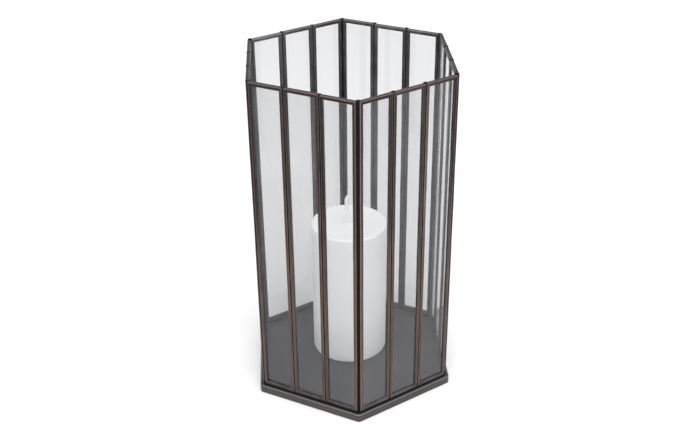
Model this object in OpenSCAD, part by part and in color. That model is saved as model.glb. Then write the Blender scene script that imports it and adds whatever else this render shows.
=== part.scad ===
// Open-topped hexagonal glass candle lantern.
// Eighteen tall glass panes, each held in its own U-shaped metal channel, stand side by side
// on a shallow sheet-metal tray and are soldered together. A pillar candle stands loose inside.
// Millimetres, +Z up, origin at the centre of the tray's resting face, one corner towards -Y.

/* [Overall] */
// Height from the resting face to the top of the solder beads on the rim
total_h = 348; // [260:1:450]
// Distance across the flats of the glass body, over the channels
body_flats = 192.8; // [170:0.2:240]

/* [Framed panes] */
// Thickness of the channel, from its outer face to its inner face
channel_t = 3.8; // [3.4:0.1:5]
// Width of the channel's face on the stiles
channel_w = 3.4; // [2.6:0.1:6]
// Width of the channel's face along the top
channel_top_w = 3.7; // [2.6:0.1:6]
// Width of the channel's face along the foot
channel_foot_w = 4.6; // [2.6:0.1:8]
// Thickness of the channel's back, behind its slot
channel_back = 0.8; // [0.5:0.1:1]
// Thickness of the glass
glass_t = 2; // [1.6:0.1:2.4]
// Play between the glass and each wall of the slot
glass_play = 0.05; // [0.02:0.01:0.1]
// Gap between the edge of the glass and the bottom of the slot
glass_edge_gap = 0.3; // [0.1:0.1:0.5]

/* [Solder] */
// Height of the solder layer between the tray and the frames
foot_seam_h = 1.2; // [0.6:0.1:3]
// Width of the flat seam between two frames on the same side
seam_w = 0.45; // [0.3:0.05:0.8]
// Depth of the flat seams and foot seams below the channel faces
seam_recess = 0.5; // [0.2:0.1:1]
// Depth of solder in the V-shaped groove at each corner
corner_fill = 1.5; // [0.6:0.1:3]
// Height of the solder beads that stand on the rim
bead_h = 0.6; // [0.3:0.1:1]
// Radius of a solder bead where it meets the rim
bead_r = 1.8; // [1:0.1:1.9]

/* [Base tray] */
// Height of the tray
base_h = 8.6; // [6:0.2:14]
// Distance across the flats of the tray
base_flats = 198.4; // [195:0.2:260]
// Radius of the tray's upright corners
base_corner_r = 4; // [2:0.5:8]
// Thickness of the sheet
base_sheet = 1.2; // [0.8:0.1:1.6]

/* [Candle] */
// Diameter of the pillar candle
candle_d = 78; // [50:1:100]
// Height of the candle without its wick
candle_h = 152; // [80:1:180]
// Radius of the candle's rounded edges
candle_edge_r = 1.2; // [0.6:0.1:5]
// Sideways place of the candle in the lantern
candle_x = -1; // [-15:0.1:15]
// Place of the candle from front to rear
candle_y = 13.5; // [-15:0.1:15]
// Diameter of the wick
wick_d = 3.6; // [2:0.1:4]
// Play between the wick and the candle's bore
wick_play = 0.05; // [0.02:0.01:0.1]
// Straight rise of the wick above the candle, before it leans
wick_rise = 2; // [1:1:20]
// Lean of the wick towards -X
wick_lean = 6; // [2:1:20]
// Length of the leaning part
wick_reach = 19; // [5:1:25]
// Angle by which the end of the wick curls back towards +X
wick_curl = 36; // [10:1:60]
// How much thinner the wick is in its bends
wick_taper = 0.2; // [0.1:0.1:0.6]

/* [Hidden] */
SIDES = ["right", "rear_right", "rear_left", "left", "front_left", "front_right"];
CORNERS = ["right_rear", "rear", "left_rear", "left_front", "front", "right_front"];
PANES = 3;

function glass_name(side, pane) = str("glass_", SIDES[side], "_", pane);
function channel_name(side, pane) = str("channel_", SIDES[side], "_", pane);
function seams_name(side) = str("seams_", SIDES[side]);
function foot_name(side) = str("foot_seam_", SIDES[side]);
function corner_name(side) = str("corner_seam_", CORNERS[side]);

outer_apothem = body_flats / 2;
inner_apothem = outer_apothem - channel_t;
inner_corner_r = inner_apothem / cos(30);
side_w = 2 * inner_apothem * tan(30);
frame_w = (side_w - (PANES - 1) * seam_w) / PANES;
frame_foot = base_h + foot_seam_h;
frame_top = total_h - bead_h;
frame_h = frame_top - frame_foot;
slot_t = glass_t + 2 * glass_play;
cut = 1;

COPPER = [0.37, 0.31, 0.28];
SOLDER = [0.13, 0.12, 0.12];
SHEET = [0.33, 0.29, 0.27];
CLEAR = [0.82, 0.88, 0.88, 0.4];
WAX = [0.93, 0.93, 0.91];
COTTON = [0.86, 0.85, 0.8];

// A side's own frame: X points out of the side, Y runs along it, Z is up.
module on_side(side) rotate([0, 0, 60 * side]) children();

// A corner's own frame: X points out of the corner.
module on_corner(side) rotate([0, 0, 60 * side + 30]) children();

// Middle of a framed pane along its side, counted 1 to PANES.
function pane_y(pane) = (pane - (PANES + 1) / 2) * (frame_w + seam_w);

// Block that stands on z with its middle at x and y.
module upright_block(x, y, z, size) translate([x - size.x / 2, y - size.y / 2, z]) cube(size);

// Block the size of a frame, smaller by edge all round, and t thick.
module frame_block(pane, edge, t) {
    upright_block(outer_apothem - channel_t / 2, pane_y(pane), frame_foot + edge,
                  [t, frame_w - 2 * edge, frame_h - 2 * edge]);
}

// Block that cuts a frame's opening.
module opening_block(pane) {
    upright_block(outer_apothem - channel_t / 2, pane_y(pane), frame_foot + channel_foot_w,
                  [channel_t + 2 * cut, frame_w - 2 * channel_w,
                   frame_h - channel_foot_w - channel_top_w]);
}

// One strip of U-shaped channel, folded round the four edges of its pane.
module pane_channel(pane) {
    color(COPPER) difference() {
        frame_block(pane, 0, channel_t);
        opening_block(pane);
        frame_block(pane, channel_back, slot_t);
    }
}

module glass_pane(pane) color(CLEAR) frame_block(pane, channel_back + glass_edge_gap, glass_t);

// Low domed drop of solder that stands on the rim.
module rim_bead() {
    ball_r = (bead_r * bead_r + bead_h * bead_h) / (2 * bead_h);
    intersection() {
        translate([0, 0, frame_top + bead_h - ball_r]) sphere(r = ball_r, $fn = 64);
        translate([0, 0, frame_top]) cylinder(r = bead_r, h = bead_h, $fn = 64);
    }
}

// The flat seams between the frames of one side, each with its bead.
module side_seams() {
    color(SOLDER) for (pane = [1:PANES - 1]) {
        y = (pane_y(pane) + pane_y(pane + 1)) / 2;
        upright_block(outer_apothem - channel_t / 2, y, frame_foot,
                      [channel_t - 2 * seam_recess, seam_w, frame_h]);
        translate([outer_apothem - channel_t / 2, y, 0]) rim_bead();
    }
}

// Solder layer that holds one side's frames on the tray.
module foot_seam() {
    color(SOLDER) upright_block(outer_apothem - channel_t / 2, 0, base_h,
                                [channel_t - 2 * seam_recess, side_w, foot_seam_h]);
}

// Solder in the V-shaped groove between the end frames of two sides, with its bead.
module corner_seam() {
    color(SOLDER) {
        half = corner_fill * tan(30);
        translate([inner_corner_r, 0, base_h]) linear_extrude(height = frame_top - base_h)
            polygon([[0, 0], [corner_fill, -half], [corner_fill, half]]);
        translate([inner_corner_r + corner_fill / 2, 0, 0]) rim_bead();
    }
}

module rounded_hexagon(flats, r) {
    middle = flats / 2 - r;
    for (k = [0:2]) rotate(60 * k) square([flats, 2 * middle * tan(30)], center = true);
    for (k = [0:5]) rotate(60 * k + 30) translate([middle / cos(30), 0]) circle(r = r, $fn = 48);
}

// Sheet-metal floor with its rim folded down all round, open underneath.
module base_tray() {
    color(SHEET) difference() {
        linear_extrude(height = base_h) rounded_hexagon(base_flats, base_corner_r);
        translate([0, 0, -cut]) linear_extrude(height = base_h - base_sheet + cut)
            rounded_hexagon(base_flats - 2 * base_sheet, base_corner_r - base_sheet);
    }
}

// Half outline of the candle, with rounded lower and upper edges.
module candle_outline() {
    r = candle_d / 2;
    e = candle_edge_r;
    square([r - e, candle_h]);
    translate([0, e]) square([r, candle_h - 2 * e]);
    for (z = [e, candle_h - e]) translate([r - e, z]) circle(r = e, $fn = 48);
}

module at_candle() translate([candle_x, candle_y, base_h]) children();

module candle() {
    color(WAX) at_candle() difference() {
        rotate_extrude($fn = 128) candle_outline();
        translate([0, 0, -cut])
            cylinder(d = wick_d + 2 * wick_play, h = candle_h + 2 * cut, $fn = 32);
    }
}

// An arc of the wick that sets off upwards from the origin and turns by angle degrees towards
// -X, or towards +X if angle is negative. Children go on from its end.
module wick_arc(r, angle, d) {
    way = sign(angle);
    translate([-way * r, 0, 0]) {
        rotate([90, 0, 0]) rotate(way > 0 ? 0 : 180 + angle)
            rotate_extrude(angle = abs(angle), $fn = 96)
                translate([r, 0]) circle(d = d, $fn = 32);
        rotate([0, -angle, 0]) translate([way * r, 0, 0]) children();
    }
}

// Wick: straight through the candle, then it leans over and curls back. Its arcs are a little
// thinner than its straight parts, which reach over their ends.
module wick() {
    arc_d = wick_d - wick_taper;
    end_d = wick_d - wick_taper / 2;
    lean_r = 40;
    curl_r = 9;
    over = 0.5;
    tip = 3;
    color(COTTON) at_candle() {
        cylinder(d = wick_d, h = candle_h + wick_rise, $fn = 32);
        translate([0, 0, candle_h + wick_rise - over]) wick_arc(lean_r, wick_lean, arc_d) {
            translate([0, 0, -over]) cylinder(d = end_d, h = wick_reach, $fn = 32);
            translate([0, 0, wick_reach - 2 * over]) wick_arc(curl_r, -wick_curl, arc_d) {
                translate([0, 0, -over]) cylinder(d = end_d, h = tip, $fn = 32);
                translate([0, 0, tip - over]) sphere(d = wick_d, $fn = 32);
            }
        }
    }
}

for (side = [0:5]) {
    for (pane = [1:PANES]) {
        on_side(side) glass_pane(pane);
        on_side(side) pane_channel(pane);
    }
    on_side(side) side_seams();
    on_corner(side) corner_seam();
    on_side(side) foot_seam();
}
base_tray();
candle();
wick();
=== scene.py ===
import math
import random

import bpy
from mathutils import Matrix, Vector


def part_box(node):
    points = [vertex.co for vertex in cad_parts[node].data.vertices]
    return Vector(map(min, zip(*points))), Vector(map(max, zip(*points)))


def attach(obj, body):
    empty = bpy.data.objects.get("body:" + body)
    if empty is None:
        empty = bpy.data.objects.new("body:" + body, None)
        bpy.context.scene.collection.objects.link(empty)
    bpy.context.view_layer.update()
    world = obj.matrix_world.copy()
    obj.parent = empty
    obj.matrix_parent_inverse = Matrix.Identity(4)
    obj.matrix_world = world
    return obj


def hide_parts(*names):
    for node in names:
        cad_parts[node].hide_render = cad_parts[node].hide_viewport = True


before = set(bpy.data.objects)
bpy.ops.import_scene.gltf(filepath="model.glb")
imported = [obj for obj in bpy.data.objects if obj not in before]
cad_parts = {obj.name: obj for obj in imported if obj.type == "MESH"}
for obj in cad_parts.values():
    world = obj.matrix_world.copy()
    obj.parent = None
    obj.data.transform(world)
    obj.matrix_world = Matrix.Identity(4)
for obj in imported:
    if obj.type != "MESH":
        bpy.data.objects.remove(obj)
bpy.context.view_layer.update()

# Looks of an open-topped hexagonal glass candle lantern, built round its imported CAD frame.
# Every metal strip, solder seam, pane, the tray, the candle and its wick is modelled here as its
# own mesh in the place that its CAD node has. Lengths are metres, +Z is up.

MM = 0.001
SIDES = ["right", "rear_right", "rear_left", "left", "front_left", "front_right"]
CORNERS = ["right_rear", "rear", "left_rear", "left_front", "front", "right_front"]
PANES = (1, 2, 3)

# First number of each kind of piece's own random series.
STRIP_SEED, PANE_SEED, SEAM_SEED, CORNER_SEED, FOOT_SEED = 20, 520, 920, 1320, 1720
TRAY_SEED, CANDLE_SEED, WICK_SEED = 2020, 3020, 4020

# Sizes read from the frame. The right side faces +X, so its boxes give them directly.
STRIP_LOW, STRIP_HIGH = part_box("channel_right_2")
GLASS_LOW, GLASS_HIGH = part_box("glass_right_2")
TRAY_LOW, TRAY_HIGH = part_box("base_tray")
CANDLE_LOW, CANDLE_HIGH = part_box("candle")
WICK_LOW, WICK_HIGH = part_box("wick")
OUTER_X = STRIP_HIGH.x
INNER_X = STRIP_LOW.x
STRIP_DEPTH = OUTER_X - INNER_X
BODY_Z0, RIM_Z = STRIP_LOW.z, STRIP_HIGH.z
GLASS_THICK = GLASS_HIGH.x - GLASS_LOW.x
INNER_CORNER = INNER_X / math.cos(math.radians(30))
WICK_R = (WICK_HIGH.y - WICK_LOW.y) / 2

# Sizes of the strip and the tray that the boxes can't give, as in the CAD source.
STILE_FACE, TOP_FACE, FOOT_FACE = 3.4 * MM, 3.7 * MM, 4.6 * MM
STRIP_BACK = 0.8 * MM
SHEET = 1.2 * MM
TRAY_CORNER = 4 * MM

# How light the painted shade near the rim is on a pane's two stiles, from 0, nearly black,
# to 1, a painted warm highlight. The front ones are given here; the others are drawn at random.
STILE_RIM_SHADE_AND_HIGHLIGHT = {
    ("front_left", 1): (0.12, 0.50), ("front_left", 2): (0.40, 0.30),
    ("front_left", 3): (0.08, 0.45), ("front_right", 1): (0.60, 0.22),
    ("front_right", 2): (0.50, 0.45), ("front_right", 3): (1.0, 0.03),
}
# The same painted shade and highlight for a pane's top.
TOP_RIM_SHADE_AND_HIGHLIGHT = {("front_right", 2): 0.7, ("front_right", 3): 0.55}


# ---------------------------------------------------------------- mesh helpers

def turned(points, degrees):
    """Points of a side's or corner's own frame, turned about Z into the lantern's frame."""
    turn = Matrix.Rotation(math.radians(degrees), 3, "Z")
    return [turn @ Vector(p) for p in points]


def piece(name, verts, faces, material, body, replaces, attributes=None, sharp=40):
    """A mesh object that rides on a body and stands for CAD nodes."""
    mesh = bpy.data.meshes.new(name)
    mesh.from_pydata([tuple(v) for v in verts], [], faces)
    for label, values in (attributes or {}).items():
        mesh.attributes.new(label, "FLOAT", "POINT").data.foreach_set("value", values)
    mesh.validate()
    mesh.polygons.foreach_set("use_smooth", [True] * len(mesh.polygons))
    mesh.set_sharp_from_angle(angle=math.radians(sharp))
    mesh.materials.append(material)
    obj = bpy.data.objects.new(name, mesh)
    bpy.context.scene.collection.objects.link(obj)
    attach(obj, body)
    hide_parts(*replaces)
    return obj


class Solid:
    """Vertices, faces and named per-vertex values collected for one piece."""

    def __init__(self, *labels):
        self.verts = []
        self.faces = []
        self.values = {label: [] for label in labels}

    def add(self, points, **values):
        """Adds points, with one value for all of them or a list, and returns the first index."""
        first = len(self.verts)
        self.verts += points
        for label, kept in self.values.items():
            value = values.get(label, 0.0)
            kept += value if isinstance(value, list) else [value] * len(points)
        return first

    def skin(self, rings, values=None):
        """Joins closed rings of points into a tube with flat ends."""
        count = len(rings[0])
        base = [self.add(ring, **(values or {})) for ring in rings][0]
        for i in range(len(rings) - 1):
            a, b = base + i * count, base + (i + 1) * count
            for j in range(count):
                k = (j + 1) % count
                self.faces.append((a + j, a + k, b + k, b + j))
        self.faces.append(tuple(reversed(range(base, base + count))))
        last = base + (len(rings) - 1) * count
        self.faces.append(tuple(range(last, last + count)))

    def make(self, name, material, replaces, body="lantern", sharp=40):
        return piece(name, self.verts, self.faces, material, body, replaces, self.values,
                     sharp)


def summed(waves, reach):
    """Sine waves, each (size, turns over 0 to 1, phase), summed and scaled to within reach."""
    total = sum(size for size, _, _ in waves)
    return lambda t: reach * sum(a * math.sin(math.tau * f * t + p) for a, f, p in waves) / total


def wander(rng, reach, slowest=1.0, count=4):
    """A smooth random curve over 0 to 1, within reach."""
    return summed([(rng.uniform(0.5, 1.0) / (k + 1), slowest * (k + rng.uniform(0.6, 1.4)),
                    rng.uniform(0, math.tau)) for k in range(count)], reach)


def ripple(rng, reach, orders):
    """A smooth random curve that closes on itself over one turn (0 to 1), within reach."""
    return summed([(rng.uniform(0.5, 1.0) / k, k, rng.uniform(0, math.tau)) for k in orders],
                  reach)


def arc(cx, cy, r, start, end, steps):
    """Points on an arc, angles in degrees."""
    angles = [math.radians(start + (end - start) * i / steps) for i in range(steps + 1)]
    return [(cx + r * math.cos(a), cy + r * math.sin(a)) for a in angles]


# ---------------------------------------------------------------- pane strips

def wear_and_highlight_arc(cx, cy, r, start, wear, inside):
    """A quarter of a circle with a point for each value of rubbing and painted highlight."""
    if not isinstance(inside, tuple):
        inside = (inside,) * len(wear)
    points = arc(cx, cy, r, start, start + 90, len(wear) - 1)
    return list(zip(points, wear, inside))


def strip_profile(w):
    """Closed outline of U-shaped strip w wide: (in from the pane's edge, in from the outer face),
    how much rubbing and painted highlight its edge has there, and 1 where it faces into the lantern.

    The strip has rolled outer corners and rounded lips."""
    t, back = STRIP_DEPTH, STRIP_BACK
    leg = (t - GLASS_THICK) / 2
    roll, lip = 1.1 * MM, 0.25 * MM
    crown, crown_shift = 0.05 * MM, 0.3 * MM
    outline = wear_and_highlight_arc(roll, roll, roll, 180, (0, 0, 0.5, 1, 0.9, 0), 0)
    outline.append(((w / 2 + crown_shift, -crown), 0.0, 0))
    outline += wear_and_highlight_arc(w - lip, lip, lip, -90, (0, 0.9, 0.4, 0), (0, 0, 0.5, 1))
    outline += [(p, 0.0, 1) for p in ((w, leg), (back, leg), (back, t - leg), (w, t - leg))]
    outline += wear_and_highlight_arc(w - lip, t - lip, lip, 0, (0, 0.5, 0.5, 0), 1)
    outline.append(((w / 2, t + crown), 0.0, 1))
    outline += wear_and_highlight_arc(roll, t - roll, roll, 90, (0, 0.4, 0.8, 0.4, 0), 1)
    return outline


def add_bar(solid, start, along, inward, length, rng, face, ends, tone, edge_wear_and_highlight, grey=0.0):
    """One edge of a pane's strip, mitred at both ends against bars whose faces are ends wide.

    start is the pane's corner, as (y, z); the edge share scales the rubbing and painted highlight
    on its edges; tone sets how light its painted shade near the rim is, above 0.6 a painted warm
    highlight; grey is how much its outer face has the grey finish of the inside."""
    outline = strip_profile(face)
    fold_gap, step = 0.05 * MM, 9 * MM
    steps = max(4, round(length / step))
    sideways = wander(rng, 0.10 * MM, length / (120 * MM))
    outward = wander(rng, 0.12 * MM, length / (100 * MM))
    rings = []
    for i in range(steps + 1):
        t = i / steps
        fade = math.sin(math.pi * t) ** 0.5
        ring = []
        for (u, v), _, _ in outline:
            first, last = (u * end / face + fold_gap for end in ends)
            s = first + (length - first - last) * t
            du, dv = sideways(t) * fade, outward(t) * fade
            y = start[0] + along[0] * s + inward[0] * (u + du)
            z = start[1] + along[1] * s + inward[1] * (u + du)
            ring.append((OUTER_X - v + dv, y, z))
        rings.append(ring)
    solid.skin(rings, {"wear": [wear * edge_wear_and_highlight for _, wear, _ in outline],
                       "inside": [max(inside, grey) for _, _, inside in outline],
                       "tone": [tone] * len(outline)})


def strip(side, pane, material):
    """The strip round one pane: stiles, top and foot, a little uneven like folded strip."""
    where = f"{SIDES[side]}_{pane}"
    low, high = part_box(f"channel_right_{pane}")
    rng = random.Random(STRIP_SEED + 10 * side + pane)
    y0, y1, z0 = low.y, high.y, low.z
    z1 = high.z + rng.uniform(-0.35, 0.25) * MM
    # How light each stile's and the top's painted shade near the rim is, up to a painted warm
    # highlight, and the share of rubbing and painted highlight on the stiles' edges.
    stile_rim_shade_and_highlight = STILE_RIM_SHADE_AND_HIGHLIGHT.get((SIDES[side], pane), [rng.uniform(0.1, 0.6) for _ in range(2)])
    stile_wear_and_highlight = [rng.uniform(0.45, 0.9) for _ in range(2)]
    top_rim_shade_and_highlight = TOP_RIM_SHADE_AND_HIGHLIGHT.get((SIDES[side], pane), rng.uniform(0.0, 0.25))
    solid = Solid("wear", "inside", "tone")
    stiles, caps = (STILE_FACE, STILE_FACE), (FOOT_FACE, TOP_FACE)
    across, up = y1 - y0, z1 - z0
    add_bar(solid, (y0, z0), (1, 0), (0, 1), across, rng, FOOT_FACE, stiles,
            tone=rng.uniform(0.2, 0.6), edge_wear_and_highlight=0.55, grey=0.75)
    add_bar(solid, (y1, z0), (0, 1), (-1, 0), up, rng, STILE_FACE, caps,
            tone=stile_rim_shade_and_highlight[1], edge_wear_and_highlight=stile_wear_and_highlight[1])
    add_bar(solid, (y1, z1), (-1, 0), (0, -1), across, rng, TOP_FACE, stiles,
            tone=top_rim_shade_and_highlight, edge_wear_and_highlight=1.0)
    add_bar(solid, (y0, z1), (0, -1), (1, 0), up, rng, STILE_FACE, caps[::-1],
            tone=stile_rim_shade_and_highlight[0], edge_wear_and_highlight=stile_wear_and_highlight[0])
    solid.verts = turned(solid.verts, 60 * side)
    return solid.make("strip_" + where, material, ["channel_" + where])


# ---------------------------------------------------------------- glass

def pane_of_glass(side, pane, material):
    """A pane of drawn glass, flat to within a tenth of a millimetre."""
    low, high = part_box(f"glass_right_{pane}")
    rng = random.Random(PANE_SEED + 10 * side + pane)
    bend_y, bend_z = wander(rng, 0.012 * MM, 0.6), wander(rng, 0.05 * MM, 1.2)
    across, up = 8, 60
    verts, faces = [], []
    for face_x in (high.x, low.x):
        for j in range(up + 1):
            for i in range(across + 1):
                y = low.y + (high.y - low.y) * i / across
                z = low.z + (high.z - low.z) * j / up
                verts.append((face_x + bend_y(i / across) + bend_z(j / up), y, z))
    row = across + 1
    back = row * (up + 1)
    for j in range(up):
        for i in range(across):
            a = j * row + i
            faces.append((a, a + 1, a + row + 1, a + row))
            faces.append((back + a, back + a + row, back + a + row + 1, back + a + 1))
    rim = (list(range(across)) + [across + j * row for j in range(up)]
           + [up * row + i for i in range(across, 0, -1)] + [j * row for j in range(up, 0, -1)])
    for k, a in enumerate(rim):
        b = rim[(k + 1) % len(rim)]
        faces.append((a, back + a, back + b, b))
    where = f"{SIDES[side]}_{pane}"
    return piece("pane_" + where, turned(verts, 60 * side), faces, material, "lantern",
                 ["glass_" + where], sharp=30)


# ---------------------------------------------------------------- solder

# How far below the rim the seams stop, and how deep the beads start in it.
SEAM_STOP = 0.2 * MM
BEAD_SINK = 0.1 * MM


def add_bead(solid, x, y, z, radius, height, rng):
    """A low, uneven drop of solder that sits on the rim."""
    around, up = 18, 5
    sunk, plump = 0.35 * MM, 0.8
    lobe = ripple(rng, 0.22, (1, 2, 3))
    lean = rng.uniform(-0.25, 0.25)
    levels = [(1.0, -sunk)] + [(math.cos(math.pi / 2 * k / up),
                                height * math.sin(math.pi / 2 * k / up) ** plump)
                               for k in range(up)]
    turns = [math.tau * j / around for j in range(around)]
    rings = []
    for share, rise in levels:
        rings.append([(x + radius * share * (1 + lobe(a / math.tau)) * math.cos(a),
                       y + radius * share * (1 + lobe(a / math.tau)) * math.sin(a) + lean * rise,
                       z + rise) for a in turns])
    first = [solid.add(ring, wear=0.3) for ring in rings]
    top = solid.add([(x, y + lean * height, z + height)], wear=1.0)
    for a, b in zip(first, first[1:]):
        for j in range(around):
            k = (j + 1) % around
            solid.faces.append((a + j, a + k, b + k, b + j))
    solid.faces += [(first[-1] + j, first[-1] + (j + 1) % around, top) for j in range(around)]
    solid.faces.append(tuple(reversed(range(first[0], first[0] + around))))


def flat_seams(side, material):
    """The two solder seams between the strips of one side, with a bead on the rim each."""
    rng = random.Random(SEAM_SEED + side)
    solid = Solid("wear")
    steps = 110
    half, neck = 1.0 * MM, 0.2 * MM
    outer_depth, inner_depth, shoulder = 0.10 * MM, 0.3 * MM, 0.9 * MM
    outer_slope, inner_slope = 0.10 * MM, 0.12 * MM
    for pane in PANES[:-1]:
        y = (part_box(f"channel_right_{pane}")[1].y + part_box(f"channel_right_{pane + 1}")[0].y) / 2
        outer, inner = wander(rng, 0.06 * MM, 14, 6), wander(rng, 0.14 * MM, 12, 6)
        rings = []
        for i in range(steps + 1):
            t = i / steps
            z = BODY_Z0 + (RIM_Z - BODY_Z0 - SEAM_STOP) * t
            a, b = outer_depth + outer(t), STRIP_DEPTH - inner_depth - inner(t)
            outline = [(-half, a + outer_slope), (-neck, a), (neck, a), (half, a + outer_slope),
                       (neck, a + shoulder), (neck, b - shoulder), (half, b - inner_slope),
                       (neck, b), (-neck, b), (-half, b - inner_slope), (-neck, b - shoulder),
                       (-neck, a + shoulder)]
            rings.append([(OUTER_X - v, y + u, z) for u, v in outline])
        solid.skin(rings)
        add_bead(solid, (OUTER_X + INNER_X) / 2 + rng.uniform(-0.2, 0.3) * MM,
                 y + rng.uniform(-0.4, 0.4) * MM, RIM_Z - BEAD_SINK,
                 rng.uniform(1.7, 2.3) * MM, rng.uniform(0.5, 0.75) * MM, rng)
    solid.verts = turned(solid.verts, 60 * side)
    return solid.make("solder_" + SIDES[side], material, ["seams_" + SIDES[side]])


def foot_seam(side, material):
    """The lumpy layer of solder between one side's strips and the tray."""
    low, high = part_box("foot_seam_right")
    rng = random.Random(FOOT_SEED + side)
    outer, steps = wander(rng, 0.15 * MM, 9, 6), 60
    end_gap, flare = 0.05 * MM, 0.35 * MM
    x0, z0, z1 = low.x, low.z + 0.02 * MM, high.z + 0.1 * MM
    rings = []
    for i in range(steps + 1):
        t = i / steps
        y = low.y + end_gap + (high.y - low.y - 2 * end_gap) * t
        x1 = high.x + outer(t)
        rings.append([(x0, y, z0), (x1 + flare, y, z0), (x1, y, (z0 + z1) / 2), (x1, y, z1),
                      (x0, y, z1)])
    solid = Solid("wear")
    solid.skin(rings)
    solid.verts = turned(solid.verts, 60 * side)
    return solid.make("foot_solder_" + SIDES[side], material,
                      ["foot_seam_" + SIDES[side]])


def corner_seam(corner, material):
    """Solder run into the groove between two sides, a small fillet inside, and a rim bead."""
    rng = random.Random(CORNER_SEED + corner)
    lump, steps = wander(rng, 0.22 * MM, 12, 6), 90
    fill, fillet = 2.5 * MM, 0.55 * MM
    edge_rise, hollow = 0.25 * MM, 0.1 * MM
    spread = math.tan(math.radians(30))
    rings = []
    for i in range(steps + 1):
        t = i / steps
        z = TRAY_HIGH.z + (RIM_Z - TRAY_HIGH.z - SEAM_STOP) * t
        front = fill + lump(t)
        half = front * spread
        right = [(-fillet, 0.35 * MM), (-0.15 * MM, 0.5 * MM), (0.15 * MM, 0.2 * MM),
                 (front + edge_rise, half), (front - hollow, half * 0.4)]
        left = [(u, -v) for u, v in right]
        outline = left[1:] + right[::-1] + left[:1]
        rings.append([(INNER_CORNER + u, v, z) for u, v in outline])
    solid = Solid("wear")
    solid.skin(rings)
    add_bead(solid, INNER_CORNER + rng.uniform(0.8, 1.3) * MM, rng.uniform(-0.3, 0.3) * MM,
             RIM_Z - BEAD_SINK, rng.uniform(2.0, 2.5) * MM, rng.uniform(0.55, 0.75) * MM, rng)
    solid.verts = turned(solid.verts, 60 * corner + 30)
    return solid.make("corner_solder_" + CORNERS[corner], material,
                      ["corner_seam_" + CORNERS[corner]])


# ---------------------------------------------------------------- base tray

def hexagon(flats, radius, arc_steps=6, side_steps=14):
    """A hexagon with rounded corners, one flat facing +X, as a ring of (x, y)."""
    middle = flats / 2 - radius
    reach = middle / math.cos(math.radians(30))
    ring = []
    for k in range(6):
        turn = math.radians(60 * k + 30)
        cx, cy = reach * math.cos(turn), reach * math.sin(turn)
        for i in range(arc_steps + 1):
            a = math.radians(60 * k + 60 * i / arc_steps)
            ring.append((cx + radius * math.cos(a), cy + radius * math.sin(a)))
        turn = math.radians(60 * k + 90)
        nx, ny = reach * math.cos(turn), reach * math.sin(turn)
        a = math.radians(60 * k + 60)
        x0, y0 = cx + radius * math.cos(a), cy + radius * math.sin(a)
        x1, y1 = nx + radius * math.cos(a), ny + radius * math.sin(a)
        for i in range(1, side_steps):
            t = i / side_steps
            ring.append((x0 + (x1 - x0) * t, y0 + (y1 - y0) * t))
    return ring


TRAY_FOLD = 1.1 * MM


def tray_profile():
    """Section of the tray as (in from its outer face, height, share of rubbing and painted
    highlight), from the middle of its floor, over the rolled edge, down the rim and back under the
    floor."""
    h, fold = TRAY_HIGH.z, TRAY_FOLD
    under, bend, middle = h - SHEET, 0.8 * MM, 92 * MM
    profile = [(i, h, 0.0) for i in (middle, 80 * MM, 64 * MM, 46 * MM, 28 * MM, 14 * MM, 7 * MM,
                                     4.5 * MM, 2.6 * MM)]
    profile += [(fold - x, h - fold + z, wear) for (x, z), wear in
                zip(arc(0, 0, fold, 90, 0, 6), (0, 0.3, 1, 1, 0.3, 0, 0))]
    profile += [(0, h * 0.5, 0.0), (0, 0.6 * MM, 0.0)]
    profile += [(0.15 * MM, 0.12 * MM, 0.5), (0.45 * MM, 0, 0.0), (0.8 * MM, 0, 0.0)]
    profile += [(SHEET, 0.3 * MM, 0.0), (SHEET, under - bend, 0.0)]
    return profile + [(SHEET + bend, under, 0.0), (30 * MM, under, 0.0), (middle, under, 0.0)]


def base_tray(material):
    """Folded sheet-metal tray: floor, rolled edge, rim, and its hollow underside. Its rim and
    edge are slightly dented."""
    flats, h = TRAY_HIGH.x - TRAY_LOW.x, TRAY_HIGH.z
    rim_inset, edge_inset, least_radius, edge_share = 2 * MM, 4 * MM, 0.3 * MM, 0.6
    rng = random.Random(TRAY_SEED)
    outward, upward = (ripple(rng, 0.16 * MM, (2, 3, 5, 9, 14)) for _ in range(2))
    solid = Solid("wear")
    starts = []
    for inset, z, wear in tray_profile():
        ring = hexagon(flats - 2 * inset, max(TRAY_CORNER - inset, least_radius))
        on_rim = inset < rim_inset
        on_edge = h - TRAY_FOLD <= z <= h and inset < edge_inset
        points = []
        for j, (x, y) in enumerate(ring):
            t = j / len(ring)
            swell = 1 + (outward(t) if on_rim else 0.0) / math.hypot(x, y)
            rise = (upward(t) if on_edge else 0.0) * edge_share
            points.append((x * swell, y * swell, z + rise))
        starts.append(solid.add(points, wear=wear))
    count = len(points)
    for a, b in zip(starts, starts[1:]):
        for j in range(count):
            k = (j + 1) % count
            solid.faces.append((a + j, b + j, b + k, a + k))
    solid.faces.append(tuple(range(count)))
    solid.faces.append(tuple(reversed(range(starts[-1], starts[-1] + count))))
    return solid.make("tray", material, ["base_tray"])


# ---------------------------------------------------------------- candle and wick

def candle_outline(radius, z0, z1):
    """Section of the candle as (radius, height), from the wick's foot round to the wick's top."""
    edge, walls = 2.0 * MM, 26
    dish = ((radius - 4.0 * MM, 0.05), (radius - 5.5 * MM, 0.25), (radius - 7.5 * MM, 0.4),
            (radius * 0.6, 0.45), (radius * 0.4, 0.5), (radius * 0.16, 0.55),
            (WICK_R + 1.6 * MM, 0.4), (WICK_R + 0.5 * MM, -0.1), (WICK_R, -0.8))
    outline = [(WICK_R, z0), (radius * 0.5, z0)]
    outline += [(radius - edge + x, z0 + edge + z) for x, z in arc(0, 0, edge, 270, 360, 5)]
    outline += [(radius, z0 + edge + (z1 - z0 - 2 * edge) * k / walls) for k in range(1, walls)]
    outline += [(radius - edge + x, z1 - edge + z) for x, z in arc(0, 0, edge, 0, 90, 6)]
    return outline + [(r, z1 - drop * MM) for r, drop in dish]


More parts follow.
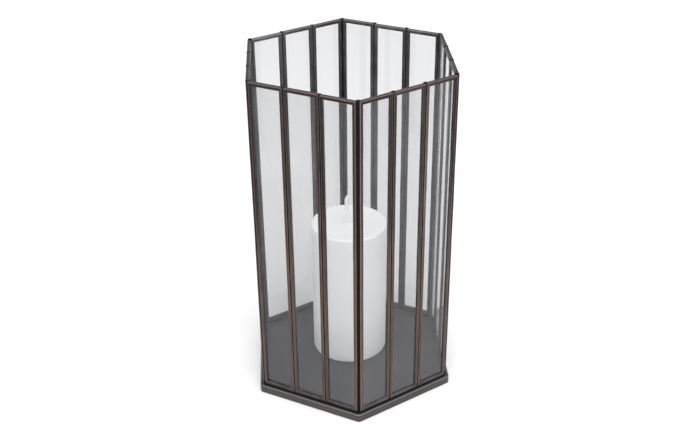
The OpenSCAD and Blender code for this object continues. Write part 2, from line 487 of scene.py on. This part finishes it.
def candle(material):
    """Pillar candle with soft edges, a shallow dished top and slightly uneven sides."""
    radius = (CANDLE_HIGH.x - CANDLE_LOW.x) / 2
    cx, cy = (CANDLE_HIGH.x + CANDLE_LOW.x) / 2, (CANDLE_HIGH.y + CANDLE_LOW.y) / 2
    z0, z1 = CANDLE_LOW.z, CANDLE_HIGH.z
    outline = candle_outline(radius, z0, z1)
    rng = random.Random(CANDLE_SEED)
    swell = ripple(rng, 0.12 * MM, (1, 2, 3))
    twist = wander(rng, 0.06 * MM, 1.5)
    shrink = 0.1 * MM
    around = 96
    verts, faces = [], []
    for r, z in outline:
        share = min(1.0, r / radius)
        for j in range(around):
            a = math.tau * j / around
            uneven = swell(j / around) + twist((z - z0) / (z1 - z0) + 0.1 * math.sin(a))
            rr = r + (uneven - shrink) * share
            verts.append((cx + rr * math.cos(a), cy + rr * math.sin(a), z))
    for i in range(len(outline) - 1):
        for j in range(around):
            k = (j + 1) % around
            a, b = i * around, (i + 1) * around
            faces.append((a + j, a + k, b + k, b + j))
    last = (len(outline) - 1) * around
    for j in range(around):
        k = (j + 1) % around
        faces.append((last + j, last + k, k, j))
    return piece("pillar_candle", verts, faces, material, "candle", ["candle"], sharp=60)


def wick_spine(cx, cy):
    """Points up the middle of the wick, each with its lean towards -X in radians.

    A bend is (radius, degrees, steps); a straight part is (None, length, steps)."""
    top, rise = CANDLE_HIGH.z + 1.5 * MM, 12
    spine = [(Vector((cx, cy, WICK_LOW.z + (top - WICK_LOW.z) * k / rise)), 0.0)
             for k in range(rise + 1)]
    bends = ((40 * MM, 6, 8), (None, 18 * MM, 13), (9 * MM, -36, 14), (None, 2.5 * MM, 3))
    at, lean = spine[-1][0].copy(), 0.0
    for radius, amount, steps in bends:
        for _ in range(steps):
            turn = math.radians(amount / steps) if radius else 0.0
            length = abs(turn) * radius if radius else amount / steps
            lean += turn / 2
            at = at + Vector((-math.sin(lean), 0, math.cos(lean))) * length
            lean += turn / 2
            spine.append((at.copy(), lean))
    return spine


def wick(material):
    """Braided wick: three lobes that twist round a line that leans over and curls back."""
    cx, cy = (CANDLE_HIGH.x + CANDLE_LOW.x) / 2, (WICK_HIGH.y + WICK_LOW.y) / 2
    spine = wick_spine(cx, cy)
    fray = wander(random.Random(WICK_SEED), 0.05, 9, 6)
    around, lobes, twist_length, fray_length = 24, 3, 2.2 * MM, 200 * MM
    tip = (0.45, 0.85, 0.97)
    back = Vector((0, 1, 0))
    rings = []
    length = 0.0
    for n, (at, lean) in enumerate(spine):
        if n:
            length += (at - spine[n - 1][0]).length
        left = len(spine) - 1 - n
        slim = tip[left] if left < len(tip) else 1.0
        across = Vector((math.cos(lean), 0, math.sin(lean)))
        ring = []
        for j in range(around):
            a = math.tau * j / around
            lobe = 0.90 + 0.08 * math.cos(lobes * a + length / twist_length)
            lobe += fray(length / fray_length)
            ring.append(at + (across * math.cos(a) + back * math.sin(a)) * WICK_R * lobe * slim)
        rings.append(ring)
    solid = Solid()
    solid.skin(rings)
    return solid.make("candle_wick", material, ["wick"], body="candle", sharp=70)


# ---------------------------------------------------------------- materials

class Nodes:
    """A new node material, with short calls to add and join nodes."""

    def __init__(self, name):
        self.material = bpy.data.materials.new(name)
        self.material.use_nodes = True
        self.tree = self.material.node_tree
        self.tree.nodes.clear()
        self.out = self.tree.nodes.new("ShaderNodeOutputMaterial")

    def add(self, kind, inputs=None, **settings):
        n = self.tree.nodes.new("ShaderNode" + kind)
        for key, value in settings.items():
            setattr(n, key, value)
        for key, value in (inputs or {}).items():
            if isinstance(value, bpy.types.NodeSocket):
                self.tree.links.new(value, n.inputs[key])
            else:
                n.inputs[key].default_value = value
        return n

    def place(self, scale=(1, 1, 1)):
        """Position in the piece's own frame, scaled."""
        coords = self.add("TexCoord")
        return self.add("Mapping", {"Vector": coords.outputs["Object"], "Scale": scale}).outputs[0]

    def noise(self, scale, detail=3.0, rough=0.5, stretch=(1, 1, 1)):
        return self.add("TexNoise", {"Vector": self.place(stretch), "Scale": scale,
                                     "Detail": detail, "Roughness": rough}).outputs["Fac"]

    def attribute(self, name):
        return self.add("Attribute", attribute_name=name).outputs["Fac"]

    def span(self, value, low, high, to_low=0.0, to_high=1.0):
        """value from low..high carried to to_low..to_high, and held at both ends."""
        return self.add("MapRange", {"Value": value, "From Min": low, "From Max": high,
                                     "To Min": to_low, "To Max": to_high}).outputs[0]

    def maths(self, operation, a, b):
        return self.add("Math", {0: a, 1: b}, operation=operation).outputs[0]

    def blend(self, share, a, b):
        """Colour a where share is 0 and colour b where it is 1."""
        return self.add("Mix", {0: share, 6: a, 7: b}, data_type="RGBA").outputs[2]

    def bump(self, height, distance):
        return self.add("Bump", {"Height": height, "Distance": distance,
                                 "Strength": 1.0}).outputs[0]

    def finish(self, shader):
        self.tree.links.new(shader, self.out.inputs[0])
        return self.material


def rgb(r, g, b):
    return (r, g, b, 1.0)


def patina_and_painted_light():
    """Antique copper strip, brown to mauve with olive drifts. Towards the rim it carries painted
    shade, near black, which each bar's tone lightens, above 0.6 into a painted warm highlight. It is
    grey and mottled inside the lantern, and paler along its rolled edges, where rubbing and a
    painted highlight are put together."""
    n = Nodes("antique_copper_painted_light")
    drift = n.span(n.noise(22, 3, 0.55), 0.35, 0.65)
    patch = n.span(n.noise(70, 4, 0.6), 0.4, 0.68)
    speck = n.noise(900, 2, 0.6)
    copper = n.blend(drift, rgb(0.078, 0.054, 0.046), rgb(0.126, 0.088, 0.082))
    copper = n.blend(n.maths("MULTIPLY", patch, 0.5), copper, rgb(0.100, 0.082, 0.062))
    streak = n.span(n.noise(380, 2, 0.6, (1, 1, 0.04)), 0.46, 0.66, 0.0, 0.7)
    copper = n.blend(streak, copper, rgb(0.150, 0.088, 0.052))
    # Painted shade for near the rim: near black for a low tone, lighter as the tone rises, and a
    # painted warm highlight above 0.6.
    tone = n.attribute("tone")
    painted_rim_shade_and_highlight = n.blend(n.span(tone, 0.0, 0.6), rgb(0.017, 0.010, 0.010), rgb(0.080, 0.055, 0.051))
    painted_rim_shade_and_highlight = n.blend(n.span(tone, 0.6, 1.0), painted_rim_shade_and_highlight, rgb(0.185, 0.140, 0.115))
    height = n.add("SeparateXYZ", {0: n.place()}).outputs[2]
    height = n.maths("ADD", height, n.span(n.noise(14, 2, 0.5), 0.3, 0.7, -35 * MM, 35 * MM))
    painted_rim_shade_and_highlight = n.blend(n.maths("MULTIPLY", streak, 0.6), painted_rim_shade_and_highlight, rgb(0.050, 0.030, 0.024))
    # Painted shade: from 150 to 250 mm up the colour goes over to the painted rim colour, and from
    # 240 mm to the rim a further 55% towards near black.
    colour = n.blend(n.span(height, 150 * MM, 250 * MM), copper, painted_rim_shade_and_highlight)
    painted_shade_at_rim = n.span(height, 240 * MM, 330 * MM, 0.0, 0.55)
    colour = n.blend(painted_shade_at_rim, colour, rgb(0.040, 0.032, 0.035))
    haze = n.span(n.noise(26, 4, 0.65, (1, 1, 0.5)), 0.42, 0.68)
    lining = n.blend(haze, rgb(0.072, 0.072, 0.082), rgb(0.190, 0.197, 0.215))
    inside = n.attribute("inside")
    colour = n.blend(n.maths("MULTIPLY", inside, 0.9), colour, lining)
    # Paler rolled edges: rubbing together with a painted highlight where light would catch them.
    worn_and_highlit = n.maths("MULTIPLY", n.attribute("wear"), n.span(speck, 0.35, 0.7, 0.25, 0.9))
    colour = n.blend(worn_and_highlit, colour, rgb(0.40, 0.33, 0.305))
    colour = n.blend(n.span(speck, 0.3, 0.75, 0.0, 0.35), colour, rgb(0.035, 0.025, 0.024))
    rough = n.span(n.noise(160, 3, 0.6), 0.3, 0.7, 0.28, 0.44)
    shader = n.add("BsdfPrincipled", {"Base Color": colour, "Metallic": 0.93, "Roughness": rough,
                                      "Normal": n.bump(n.noise(520, 3, 0.6), 0.06 * MM)})
    return n.finish(shader.outputs[0])


def blackened_solder():
    """Solder under black patina, with a few brighter rubbed spots."""
    n = Nodes("blackened_solder")
    grain = n.noise(700, 3, 0.6)
    rub = n.maths("MULTIPLY", n.attribute("wear"), n.span(n.noise(300, 2, 0.5), 0.4, 0.7))
    colour = n.blend(n.span(grain, 0.3, 0.7), rgb(0.003, 0.0025, 0.002), rgb(0.012, 0.009, 0.008))
    colour = n.blend(rub, colour, rgb(0.13, 0.11, 0.105))
    shader = n.add("BsdfPrincipled", {"Base Color": colour, "Metallic": 0.4,
                                      "Specular IOR Level": 0.1,
                                      "Roughness": n.span(grain, 0.3, 0.7, 0.38, 0.6),
                                      "Normal": n.bump(grain, 0.10 * MM)})
    return n.finish(shader.outputs[0])


def brushed_sheet_and_highlight():
    """Bronzed sheet: brown and brushed along the rim, neutral and mottled on the floor, paler
    along its rolled fold, from rubbing and a painted highlight together."""
    n = Nodes("bronzed_sheet_painted_highlight")
    streak = n.noise(60, 3, 0.6, (1, 1, 40))
    mottle = n.noise(18, 4, 0.55)
    speck = n.noise(1100, 2, 0.6)
    rim = n.blend(n.span(streak, 0.3, 0.7), rgb(0.062, 0.054, 0.050), rgb(0.104, 0.092, 0.088))
    floor = n.blend(n.span(mottle, 0.35, 0.7), rgb(0.072, 0.072, 0.084), rgb(0.096, 0.096, 0.110))
    height = n.add("SeparateXYZ", {0: n.place()}).outputs[2]
    on_top = n.span(height, TRAY_HIGH.z - 0.3 * MM, TRAY_HIGH.z - 0.05 * MM)
    colour = n.blend(on_top, rim, floor)
    # Paler rolled fold: rubbing together with a painted highlight along it.
    worn_and_highlit = n.maths("MULTIPLY", n.attribute("wear"), n.span(speck, 0.3, 0.6, 0.4, 0.9))
    colour = n.blend(worn_and_highlit, colour, rgb(0.27, 0.255, 0.25))
    rough = n.span(n.noise(90, 4, 0.6), 0.3, 0.7, 0.36, 0.54)
    shader = n.add("BsdfPrincipled", {"Base Color": colour, "Metallic": 0.85, "Roughness": rough,
                                      "Normal": n.bump(streak, 0.05 * MM)})
    return n.finish(shader.outputs[0])


def clear_glass():
    """Clear glass with a faint grey body. Light on its way to other surfaces passes straight on."""
    n = Nodes("clear_glass")
    glass = n.add("BsdfPrincipled", {"Base Color": rgb(0.762, 0.765, 0.775), "Roughness": 0.0,
                                     "IOR": 1.45, "Transmission Weight": 1.0})
    passing = n.add("BsdfTransparent", {"Color": rgb(0.93, 0.935, 0.935)})
    path = n.add("LightPath").outputs
    lighting = n.maths("MAXIMUM", path["Is Shadow Ray"], path["Is Diffuse Ray"])
    mix = n.add("MixShader", {0: lighting, 1: glass.outputs[0], 2: passing.outputs[0]})
    return n.finish(mix.outputs[0])


def wax():
    """White candle wax: soft, slightly translucent, with faint cloudy variation."""
    n = Nodes("candle_wax")
    cloud = n.noise(30, 4, 0.55)
    colour = n.blend(n.span(cloud, 0.3, 0.7), rgb(0.86, 0.875, 0.885), rgb(0.91, 0.92, 0.925))
    rough = n.span(n.noise(120, 3, 0.6), 0.3, 0.7, 0.55, 0.7)
    shader = n.add("BsdfPrincipled", {"Base Color": colour, "Roughness": rough,
                                      "Specular IOR Level": 0.2, "Subsurface Weight": 0.35,
                                      "Subsurface Radius": (1.0, 0.8, 0.6),
                                      "Subsurface Scale": 4 * MM,
                                      "Normal": n.bump(n.noise(420, 3, 0.5), 0.08 * MM)})
    return n.finish(shader.outputs[0])


def cotton():
    """Waxed cotton of the wick."""
    n = Nodes("waxed_cotton")
    fibre = n.noise(1500, 3, 0.6, (1, 1, 0.3))
    colour = n.blend(n.span(fibre, 0.3, 0.7), rgb(0.80, 0.79, 0.77), rgb(0.93, 0.93, 0.92))
    shader = n.add("BsdfPrincipled", {"Base Color": colour, "Roughness": 0.6,
                                      "Normal": n.bump(fibre, 0.1 * MM)})
    return n.finish(shader.outputs[0])


def pale_floor():
    """Matt, nearly white floor."""
    n = Nodes("pale_floor")
    tone = n.noise(3, 3, 0.5)
    colour = n.blend(tone, rgb(0.86, 0.86, 0.86), rgb(0.90, 0.90, 0.90))
    shader = n.add("BsdfPrincipled", {"Base Color": colour, "Roughness": 0.85})
    return n.finish(shader.outputs[0])


# ---------------------------------------------------------------- stage

# Brightness of the surround, and what is added to it low down in front.
SKY = 0.60
FRONT_FILL = 1.6
FILL_FROM = Vector((0, -0.94, 0.34))
FILL_START = 0.1

# The camera's place, its heading from +Y towards +X, tilt down and roll in degrees, and lens in
# millimetres.
CAMERA_AT = Vector((-0.0591, -0.9294, 0.6960))
HEADING, TILT, ROLL = 3.609, 29.51, -0.479
LENS = 53.75
SENSOR = 36


def camera():
    """Camera at the viewing angle."""
    heading, tilt, roll = (math.radians(a) for a in (HEADING, TILT, ROLL))
    forward = Vector((math.sin(heading) * math.cos(tilt), math.cos(heading) * math.cos(tilt),
                      -math.sin(tilt)))
    level = Vector((math.cos(heading), -math.sin(heading), 0))
    right = level * math.cos(roll) + level.cross(forward) * math.sin(roll)
    up = right.cross(forward)
    data = bpy.data.cameras.new("camera")
    data.sensor_width = SENSOR
    data.lens = LENS
    obj = bpy.data.objects.new("camera", data)
    bpy.context.scene.collection.objects.link(obj)
    turn = Matrix((right, up, -forward)).transposed().to_4x4()
    obj.matrix_world = Matrix.Translation(CAMERA_AT) @ turn
    bpy.context.scene.camera = obj


def area_light(name, at, aim, size, power):
    """A rectangular lamp at a point, aimed at another."""
    data = bpy.data.lights.new(name, "AREA")
    data.shape = "RECTANGLE"
    data.size, data.size_y = size
    data.energy = power
    obj = bpy.data.objects.new(name, data)
    bpy.context.scene.collection.objects.link(obj)
    obj.location = at
    obj.rotation_euler = (Vector(aim) - Vector(at)).to_track_quat("-Z", "Y").to_euler()


def fill_from_front(tree):
    """A white surround that is brighter low down in front, like a very large soft fill light."""
    sky = tree.nodes["Background"]
    way = tree.nodes.new("ShaderNodeTexCoord")
    front = tree.nodes.new("ShaderNodeVectorMath")
    front.operation = "DOT_PRODUCT"
    front.inputs[1].default_value = FILL_FROM
    level = tree.nodes.new("ShaderNodeMapRange")
    level.inputs["From Min"].default_value = FILL_START
    level.inputs["To Min"].default_value = SKY
    level.inputs["To Max"].default_value = SKY + FRONT_FILL
    tree.links.new(way.outputs["Generated"], front.inputs[0])
    tree.links.new(front.outputs["Value"], level.inputs["Value"])
    tree.links.new(level.outputs[0], sky.inputs["Strength"])
    sky.inputs["Color"].default_value = (1, 1, 1, 1)


def stage():
    """Plain pale floor, a bright surround, one large soft lamp overhead and a small one behind."""
    reach, z = 4.0, -0.2 * MM
    mesh = bpy.data.meshes.new("floor")
    mesh.from_pydata([(-reach, -reach, z), (reach, -reach, z), (reach, reach, z),
                      (-reach, reach, z)], [], [(0, 1, 2, 3)])
    mesh.materials.append(pale_floor())
    floor = bpy.data.objects.new("floor", mesh)
    bpy.context.scene.collection.objects.link(floor)
    world = bpy.data.worlds.new("surround")
    world.use_nodes = True
    fill_from_front(world.node_tree)
    bpy.context.scene.world = world
    area_light("overhead", (0.1, -0.25, 1.6), (0, 0, 0.1), (0.95, 0.95), 8.4)
    area_light("behind", (0, 0.45, 1.1), (0, 0.4, 0), (0.7, 0.3), 1.0)
    bpy.context.scene.view_settings.view_transform = "Standard"


# ---------------------------------------------------------------- the lantern

camera()
stage()

copper, solder, clear = patina_and_painted_light(), blackened_solder(), clear_glass()
for side in range(6):
    for pane in PANES:
        strip(side, pane, copper)
        pane_of_glass(side, pane, clear)
    flat_seams(side, solder)
    corner_seam(side, solder)
    foot_seam(side, solder)
base_tray(brushed_sheet_and_highlight())
candle(wax())
wick(cotton())
